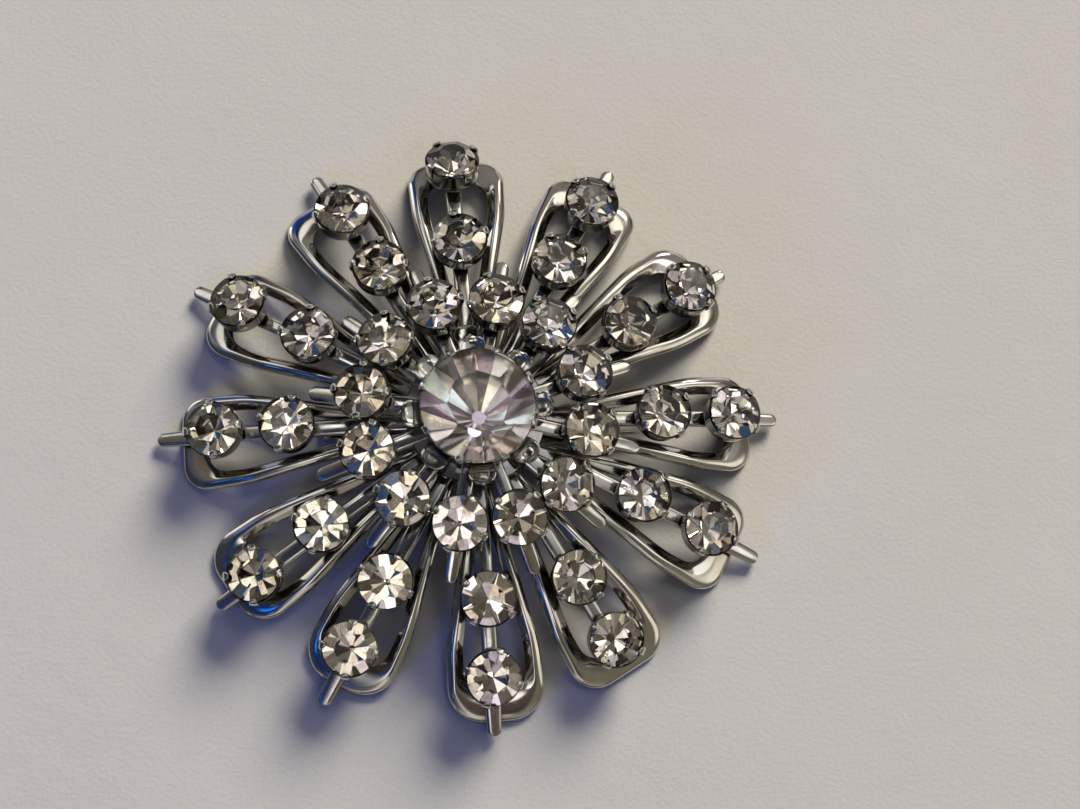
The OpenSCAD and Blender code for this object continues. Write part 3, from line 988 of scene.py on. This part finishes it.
def makePin():
    halfLength = pin["length"] / 2
    stem = pin["stemWidth"] / 2
    knuckle = pin["knuckleRadius"]
    far = halfLength - knuckle
    height = Matrix.Translation((0, 0, pin["stemHeight"]))
    point = [(far + pin["point"] * share, radius) for share, radius in pin["pointRows"]]
    stemShape = tube([(-far, stem), (far, stem)] + point)
    half = pin["width"] / 2
    edge = pin["softEdge"]
    side = [(x, knuckle - depth) for x, depth in pin["grooves"]]
    side += [(half - edge, knuckle), (half, knuckle - edge)]
    barrel = tube([(-x, radius) for x, radius in reversed(side)] + side, steps=28)
    barrelPlace = Matrix.Translation((-far, 0, pin["stemHeight"])) @ turned(90)
    r = pin["bossRadius"]
    low = pin["top"] - pin["bossSunk"]
    top = pin["bossTop"]
    boss = lathe([(0, low), (r, low), (r, top - edge), (r - edge, top), (0, top)], loop=False)
    shapes = [barShape(), moved(stemShape, height), moved(barrel, barrelPlace), boss, catchShape()]
    return newObject("pinBack", together(shapes), [pinPlating])


pinBack = makePin()
sharpFrom = 38.0        # degrees at which an edge looks sharp
for metalPiece in (petalPlate, rayStar, innerStar, centreSetting, pinBack):
    metalPiece.data.set_sharp_from_angle(angle=math.radians(sharpFrom))


print("stones")

# radius, heights of the crown, girdle and back, and the table and the small flat point (culet) as
# shares of the radius; seat is the point's height over the ray, or over the solid's own point
smallStone = {"radius": 2.65, "table": 0.54, "crown": 0.86, "girdle": 0.12, "back": 2.20,
              "facets": 8, "backFacets": 8, "culet": 0.03, "foot": 0.02, "lean": (0, 0),
              "seat": 0.58}
largeStone = {"radius": 5.74, "table": 0.54, "crown": 1.62, "girdle": 0.24, "back": 4.9,
              "facets": 8, "backFacets": 16, "culet": 0.12, "foot": 0.02, "lean": (-0.1, -0.7),
              "seat": -0.9, "backTurn": 0.5}
arcSteps = 4            # of each flat's edge on the girdle
# how unlike the small stones are: tilt in degrees, spread of the table, and of the turn
unlike = {"tilt": 1.6, "table": 0.03, "backTurns": (0.0, 0.5), "turn": 45}
ringFoilShade = {"inner": 1.0, "middle": 1.0, "outer": 0.88}    # painted shade: the outer stones' foil is darker


def cutStone(sizes):
    # a table, a crown of flats, a girdle, and a back of flats that meet at a small flat point; each
    # flat is a plane that runs out to the round girdle, so its edge there is an arc
    r = sizes["radius"]
    points = []
    faces = []

    def at(radius, angle, height):
        return Vector((radius * math.cos(angle), radius * math.sin(angle), height))

    def add(corners):
        start = len(points)
        points.extend(corners)
        faces.append(tuple(range(start, start + len(corners))))

    def flats(count, inner, level, fall, turn):
        # an inner polygon at level, and arcs on the girdle; fall is the plane's rise outwards
        step = math.tau / count
        across = inner * math.cos(step / 2)
        rim = []
        for i in range(count):
            middle = step * (i + turn)
            arc = []
            for j in range(arcSteps + 1):
                aside = step * (j / arcSteps - 0.5)
                arc.append(at(r, middle + aside, level + fall * (r * math.cos(aside) - across)))
            add([at(inner, middle - step / 2, level)] + arc + [at(inner, middle + step / 2, level)])
            rim.extend(arc[:-1])
        add([at(inner, step * (i + turn - 0.5), level) for i in range(count)])
        return rim

    culet = sizes["culet"] * r
    table = sizes["table"] * r
    backAcross = culet * math.cos(math.pi / sizes["backFacets"])
    lower = flats(sizes["backFacets"], culet, sizes["foot"], sizes["back"] / (r - backAcross),
                  sizes["backTurn"])
    backCount = len(faces)
    backTop = sizes["foot"] + sizes["back"]
    lean = Vector((*sizes["lean"], 0))             # how far the back's point stands off the axis
    for point in points:
        point += lean * (1 - point.z / backTop)
    tableAcross = table * math.cos(math.pi / sizes["facets"])
    upper = flats(sizes["facets"], table, backTop + sizes["girdle"] + sizes["crown"],
                  -sizes["crown"] / (r - tableAcross), 0.0)

    def angleOf(point):
        return round(math.atan2(point.y, point.x), 5) % math.tau

    # the girdle joins the two scalloped edges, a strip for each of their points
    lower.sort(key=angleOf)
    upper.sort(key=angleOf)
    i = 0
    j = 0
    while i < len(lower) or j < len(upper):
        low = lower[i % len(lower)]
        high = upper[j % len(upper)]
        nextLow = lower[(i + 1) % len(lower)]
        nextHigh = upper[(j + 1) % len(upper)]
        lowAngle = angleOf(nextLow) + (math.tau if i + 1 >= len(lower) else 0)
        highAngle = angleOf(nextHigh) + (math.tau if j + 1 >= len(upper) else 0)
        if j >= len(upper) or (i < len(lower) and lowAngle <= highAngle):
            add([low, nextLow, high])
            i += 1
        else:
            add([low, nextHigh, high])
            j += 1
    return points, faces, backCount


dice = random.Random(12)
# painted fire and reflection: each flat of the foil is tinted a little, lighter or darker
foilHues = ((1.0, 1.0, 0.98), (1.0, 1.0, 0.98), (0.88, 0.85, 0.78), (0.86, 0.84, 0.89),
            (0.72, 0.69, 0.62), (0.96, 0.94, 0.88))
largeFoilHues = ((0.70, 0.67, 0.63), (1.0, 0.93, 0.82), (0.74, 0.66, 0.58), (1.0, 0.95, 0.86),
                 (0.58, 0.58, 0.55), (0.74, 0.86, 0.88), (0.56, 0.49, 0.60), (1.0, 0.97, 0.90),
                 (0.48, 0.49, 0.55), (0.72, 0.80, 0.77), (0.60, 0.55, 0.62), (0.84, 0.81, 0.80),
                 (0.60, 0.53, 0.45), (0.88, 0.84, 0.82), (1.0, 1.0, 0.96), (0.52, 0.46, 0.48),
                 (0.88, 0.83, 0.97))


def makeStone(name, sizes, glass, foil, hues, place, turn, node):
    # the glass is one closed shape; its back faces carry the foil
    points, faces, backCount = cutStone(sizes)
    matrix = place @ turned(turn)
    mesh = bpy.data.meshes.new(name)
    mesh.from_pydata([(matrix @ p) * mm for p in points], [], faces)
    mesh.materials.append(glass)
    mesh.materials.append(foil)
    mesh.polygons.foreach_set("material_index", [int(i < backCount) for i in range(len(faces))])
    mesh.attributes.new("foilHue", "FLOAT_COLOR", "FACE")
    for value, hue in zip(mesh.attributes["foilHue"].data, hues):
        value.color = (*hue, 1)
    bm = bmesh.new()
    bm.from_mesh(mesh)
    bmesh.ops.remove_doubles(bm, verts=bm.verts, dist=0.001 * mm)
    bmesh.ops.recalc_face_normals(bm, faces=bm.faces)
    bm.to_mesh(mesh)
    bm.free()
    piece = asPiece(name, mesh)
    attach(piece, "root")
    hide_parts(node)
    return piece


for node, seat in seats.items():
    ringName, _, number = node.split("_")
    # no stone sits quite level in its cup, and none is turned like its neighbour
    tilts = [math.radians(dice.uniform(-unlike["tilt"], unlike["tilt"])) for i in range(2)]
    sizes = dict(smallStone)
    sizes["table"] += dice.uniform(-unlike["table"], unlike["table"])
    sizes["backTurn"] = dice.choice(unlike["backTurns"])
    level = Matrix.Translation((0, 0, sizes["seat"])) @ Euler((*tilts, 0)).to_matrix().to_4x4()
    # painted shade: the outer ring's foil tints are darker
    hues = [[ringFoilShade[ringName] * part for part in dice.choice(foilHues)]
            for i in range(sizes["backFacets"] + 1)]
    makeStone(f"{ringName}Stone{number}", sizes, smallGlass, smallFoil, hues, seat @ level,
              dice.uniform(0, unlike["turn"]), node)

bigSeat = seatOf("centre_stone", 0, 0)
bigPlace = Matrix.Translation(bigSeat.translation + Vector((0, 0, largeStone["seat"])))
makeStone("centreStone", largeStone, largeGlass, largeFoil, largeFoilHues, bigPlace,
          setting["firstTurn"] + 180 / setting["leaves"], "centre_stone")


for piece, node, slotName in (
    (petalPlate, "petal_plate", "petal_metal"),
    (rayStar, "ray_star", "ray_metal"),
    (innerStar, "inner_star", "short_ray_metal"),
    (centreSetting, "centre_setting", "setting_metal"),
    (pinBack, "pin_back", "pin_metal"),
):
    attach(piece, "root")
    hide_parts(node)


print("floor, lights and camera")

floor = {
    "half": 900.0,
    "warm": (0.534, 0.515, 0.509),
    "cool": (0.582, 0.570, 0.572),
    "mottleScale": 45.0,
    "fibreScale": 2200.0,
    "softScale": 260.0,
    "bump": (0.5, 0.0001),
    "roughness": 0.75,
}


def makeFloor():
    # a sheet of pale drawing paper
    material, tree, shader = newMaterial("palePaper")
    place = ownPlace(tree)
    mottle = noise(tree, place, floor["mottleScale"], 5.0)
    height = maths(tree, "ADD", noise(tree, place, floor["fibreScale"], 8.0, 0.6),
                   noise(tree, place, floor["softScale"], 3.0))
    feedAll(tree, shader, Roughness=floor["roughness"], Normal=bumpOf(tree, height, *floor["bump"]),
            Base_Color=mixColour(tree, mottle, floor["warm"], floor["cool"]))
    half = floor["half"]
    corners = [Vector((x * half, y * half, 0)) for x, y in ((-1, -1), (1, -1), (1, 1), (-1, 1))]
    sheet = newObject("paper", (corners, [(0, 1, 2, 3)]), [material], smooth=False)


makeFloor()

# where each soft light is: compass angle, height angle and distance, its size, strength and colour,
# and whether the stones gather it; the metal mirrors the room instead
lights = {
    "window": {"around": 62, "up": 30, "far": 3000, "size": (1275, 1160), "power": 144.0,
               "colour": (1.0, 0.94, 0.75), "gathered": True},
    "upperFill": {"around": 70, "up": 62, "far": 2000, "size": (700, 500), "power": 2.5,
                  "colour": (1.0, 0.97, 0.90), "gathered": False},
    "blueFill": {"around": 226, "up": 21, "far": 700, "size": (260, 160), "power": 1.55,
                 "colour": (0.05, 0.16, 1.0), "gathered": False},
    "lowerStrip": {"around": 300, "up": 55, "far": 600, "size": (150, 30), "power": 0.12,
                   "colour": (1.0, 0.98, 0.95), "gathered": True},
}


def makeLights():
    for name, light in lights.items():
        around = math.radians(light["around"])
        up = math.radians(light["up"])
        flat = math.cos(up)
        way = Vector((math.cos(around) * flat, math.sin(around) * flat, math.sin(up)))
        lamp = bpy.data.lights.new(name, "AREA")
        lamp.shape = "RECTANGLE"
        lamp.size = light["size"][0] * mm
        lamp.size_y = light["size"][1] * mm
        lamp.energy = light["power"]
        lamp.color = light["colour"]
        holder = bpy.data.objects.new(name, lamp)
        holder.location = way * light["far"] * mm
        holder.rotation_euler = way.to_track_quat("Z", "Y").to_euler()
        holder.visible_glossy = False
        holder.visible_transmission = light["gathered"]
        bpy.context.scene.collection.objects.link(holder)


makeLights()


room = {
    "patches": 2.6,         # how many there are across the sky
    "turn": (0.3, 1.1, 0.4),
    # brightness of the patches, from the share of the sky where each begins
    "shades": ((0.0, (0.010, 0.009, 0.009)), (0.42, (0.05, 0.046, 0.04)),
               (0.62, (0.13, 0.125, 0.12)), (0.78, (0.32, 0.32, 0.33)), (0.90, (0.8, 0.8, 0.82)),
               (0.965, (2.2, 2.15, 2.1))),
    "tints": ((0.0, (1.0, 0.93, 0.82)), (0.30, (1.0, 1.0, 1.0)), (0.60, (0.86, 0.92, 1.15)),
              (0.94, (0.75, 0.42, 0.50))),
    # walls, a pale blind and a blue screen over the patches: the way to each, the angles from it at
    # which it starts to fade and is gone, its light, and how much it hides
    "views": (
        ((0.24, 0.12, 0.96), 9, 20, (0.42, 0.42, 0.44), 0.8),
        ((-0.20, 0.0, 0.98), 6, 15, (0.030, 0.031, 0.037), 0.9),
        ((0.46, 0.245, 0.85), 8, 20, (0.48, 0.47, 0.44), 0.85),
        ((-0.62, -0.1, 0.78), 16, 40, (0.028, 0.030, 0.040), 0.9),
        ((0.80, -0.25, 0.45), 25, 60, (0.18, 0.165, 0.125), 0.62),
        ((0.10, -0.65, 0.75), 14, 38, (0.17, 0.155, 0.115), 0.5),
        ((0.12, -0.47, 0.87), 3, 9, (0.025, 0.024, 0.026), 0.9),
        ((0.09, -0.38, 0.92), 5, 8.5, (0.07, 0.052, 0.042), 0.9),
        ((0.05, -0.065, 0.995), 5, 9, (0.010, 0.010, 0.014), 0.95),
        ((0.085, -0.21, 0.974), 2.5, 5, (1.3, 1.23, 1.19), 1.0),
        ((0.75, -0.09, 0.655), 8, 16, (0.75, 0.70, 0.58), 1.0),
        ((-0.75, 0.0, 0.60), 24, 55, (0.030, 0.034, 0.046), 0.85),
        ((0.48, 0.05, 0.875), 6, 9, (0.95, 0.92, 0.85), 1.0),
        ((0.05, 0.41, 0.91), 2.5, 5, (1.4, 1.35, 1.25), 1.0),
        ((0.346, 0.242, 0.906), 2, 4, (1.7, 1.62, 1.5), 1.0),
        ((-0.247, 0.242, 0.937), 2, 4, (1.3, 1.25, 1.17), 1.0),
        ((0.60, 0.27, 0.755), 3, 6, (0.25, 0.235, 0.21), 0.9),
        ((0.25, 0.78, 0.58), 16, 34, (0.19, 0.18, 0.16), 0.85),
        ((-0.24, 0.67, 0.705), 3, 7, (0.80, 0.77, 0.69), 0.95),
        ((-0.42, 0.44, 0.79), 7, 11, (0.80, 0.77, 0.71), 0.95),
        ((0.27, 0.62, 0.73), 6, 12, (1.3, 1.23, 1.05), 1.0),
        ((0.50, 0.49, 0.714), 4, 9, (1.3, 1.25, 1.12), 1.0),
        ((0.407, 0.765, 0.50), 2, 4, (5.0, 4.7, 4.0), 1.0),
        ((-0.49, 0.21, 0.84), 5, 12, (0.12, 0.10, 0.07), 0.8),
        ((-0.30, -0.55, 0.78), 7, 17, (0.03, 0.034, 0.05), 0.85),
        ((-0.42, -0.29, 0.86), 5, 18, (0.006, 0.018, 0.08), 0.95),
        ((-0.42, -0.29, 0.86), 1, 4, (0.02, 0.22, 1.0), 1.0),
        ((-0.34, -0.50, 0.80), 1, 3, (0.02, 0.22, 1.0), 1.0),
        ((-0.52, -0.16, 0.84), 1, 3, (0.05, 0.36, 1.1), 1.0),
        ((-0.61, 0.245, 0.755), 1, 3, (0.05, 0.36, 1.1), 1.0),
        ((-0.45, 0.73, 0.51), 3, 10, (0.006, 0.035, 0.20), 0.95),
    ),
    "brightness": 1.42,
    "haze": (0.048, 0.052, 0.070),  # what reaches the paper from all round
    # what the stones gather: more and plainer patches
    "stonePatches": 3.4,
    "stoneShades": ((0.0, (0.022, 0.019, 0.016)), (0.19, (0.09, 0.083, 0.07)),
                    (0.38, (0.23, 0.22, 0.20)), (0.59, (0.46, 0.45, 0.425)),
                    (0.79, (0.84, 0.82, 0.78)), (0.91, (2.3, 2.25, 2.18))),
    "stoneTints": ((0.0, (1.0, 0.95, 0.84)), (0.35, (1.0, 1.0, 1.0)), (0.62, (0.95, 0.92, 1.05)),
                   (0.93, (0.60, 0.22, 0.32)), (0.96, (0.12, 0.35, 1.1))),
}


def patchesOf(tree, place, scale, shades, tints):
    cells = addNode(tree, "ShaderNodeTexVoronoi", Vector=place, Scale=scale)
    pick = addNode(tree, "ShaderNodeSeparateColor", Color=cells.outputs["Color"])
    return mixColour(tree, 1.0, steppedColours(tree, pick.outputs[0], shades),
                     steppedColours(tree, pick.outputs[1], tints), "MULTIPLY")


def makeRoom():
    # a dim room: walls, frames and panes as patches of plain light and dark, and a blue screen
    world = bpy.data.worlds.new("room")
    world.use_nodes = True
    tree = world.node_tree
    place = addNode(tree, "ShaderNodeTexCoord").outputs["Generated"]
    turn = addNode(tree, "ShaderNodeMapping", Vector=place, Rotation=room["turn"])
    sky = patchesOf(tree, turn.outputs[0], room["patches"], room["shades"], room["tints"])
    for way, near, far, light, amount in room["views"]:
        side = addNode(tree, "ShaderNodeVectorMath", {"operation": "DOT_PRODUCT"}, at0=place,
                       at1=Vector(way).normalized())
        share = addNode(tree, "ShaderNodeMapRange", {"interpolation_type": "SMOOTHSTEP"},
                        Value=side.outputs["Value"], From_Min=math.cos(math.radians(far)),
                        From_Max=math.cos(math.radians(near)), To_Max=amount)
        sky = mixColour(tree, share.outputs[0], sky, light)
    bright = addNode(tree, "ShaderNodeVectorMath", {"operation": "SCALE"}, at0=sky,
                     Scale=room["brightness"])
    inStones = patchesOf(tree, turn.outputs[0], room["stonePatches"], room["stoneShades"],
                         room["stoneTints"])
    path = addNode(tree, "ShaderNodeLightPath")
    light = mixColour(tree, path.outputs["Is Transmission Ray"], bright.outputs[0], inStones)
    light = mixColour(tree, path.outputs["Is Diffuse Ray"], light, room["haze"])
    feed(tree, tree.nodes["Background"].inputs["Color"], light)
    bpy.context.scene.world = world
    bpy.context.scene.view_settings.view_transform = "Standard"


makeRoom()

# how the photograph looks down on the brooch
camera = {"lens": 86.67, "sensor": 36.0, "lean": 14.17, "sideLean": -4.55, "far": 264.25,
          "aside": 6.95, "above": 2.84, "near": 10}


def makeCamera():
    lens = bpy.data.cameras.new("view")
    lens.lens = camera["lens"]
    lens.sensor_width = camera["sensor"]
    lens.clip_start = camera["near"] * mm
    turn = Euler((math.radians(camera["lean"]), math.radians(camera["sideLean"]), 0))
    holder = bpy.data.objects.new("view", lens)
    holder.rotation_euler = turn
    place = Vector((camera["aside"], camera["above"], camera["far"]))
    holder.location = turn.to_matrix() @ place * mm
    bpy.context.scene.collection.objects.link(holder)
    bpy.context.scene.camera = holder


makeCamera()
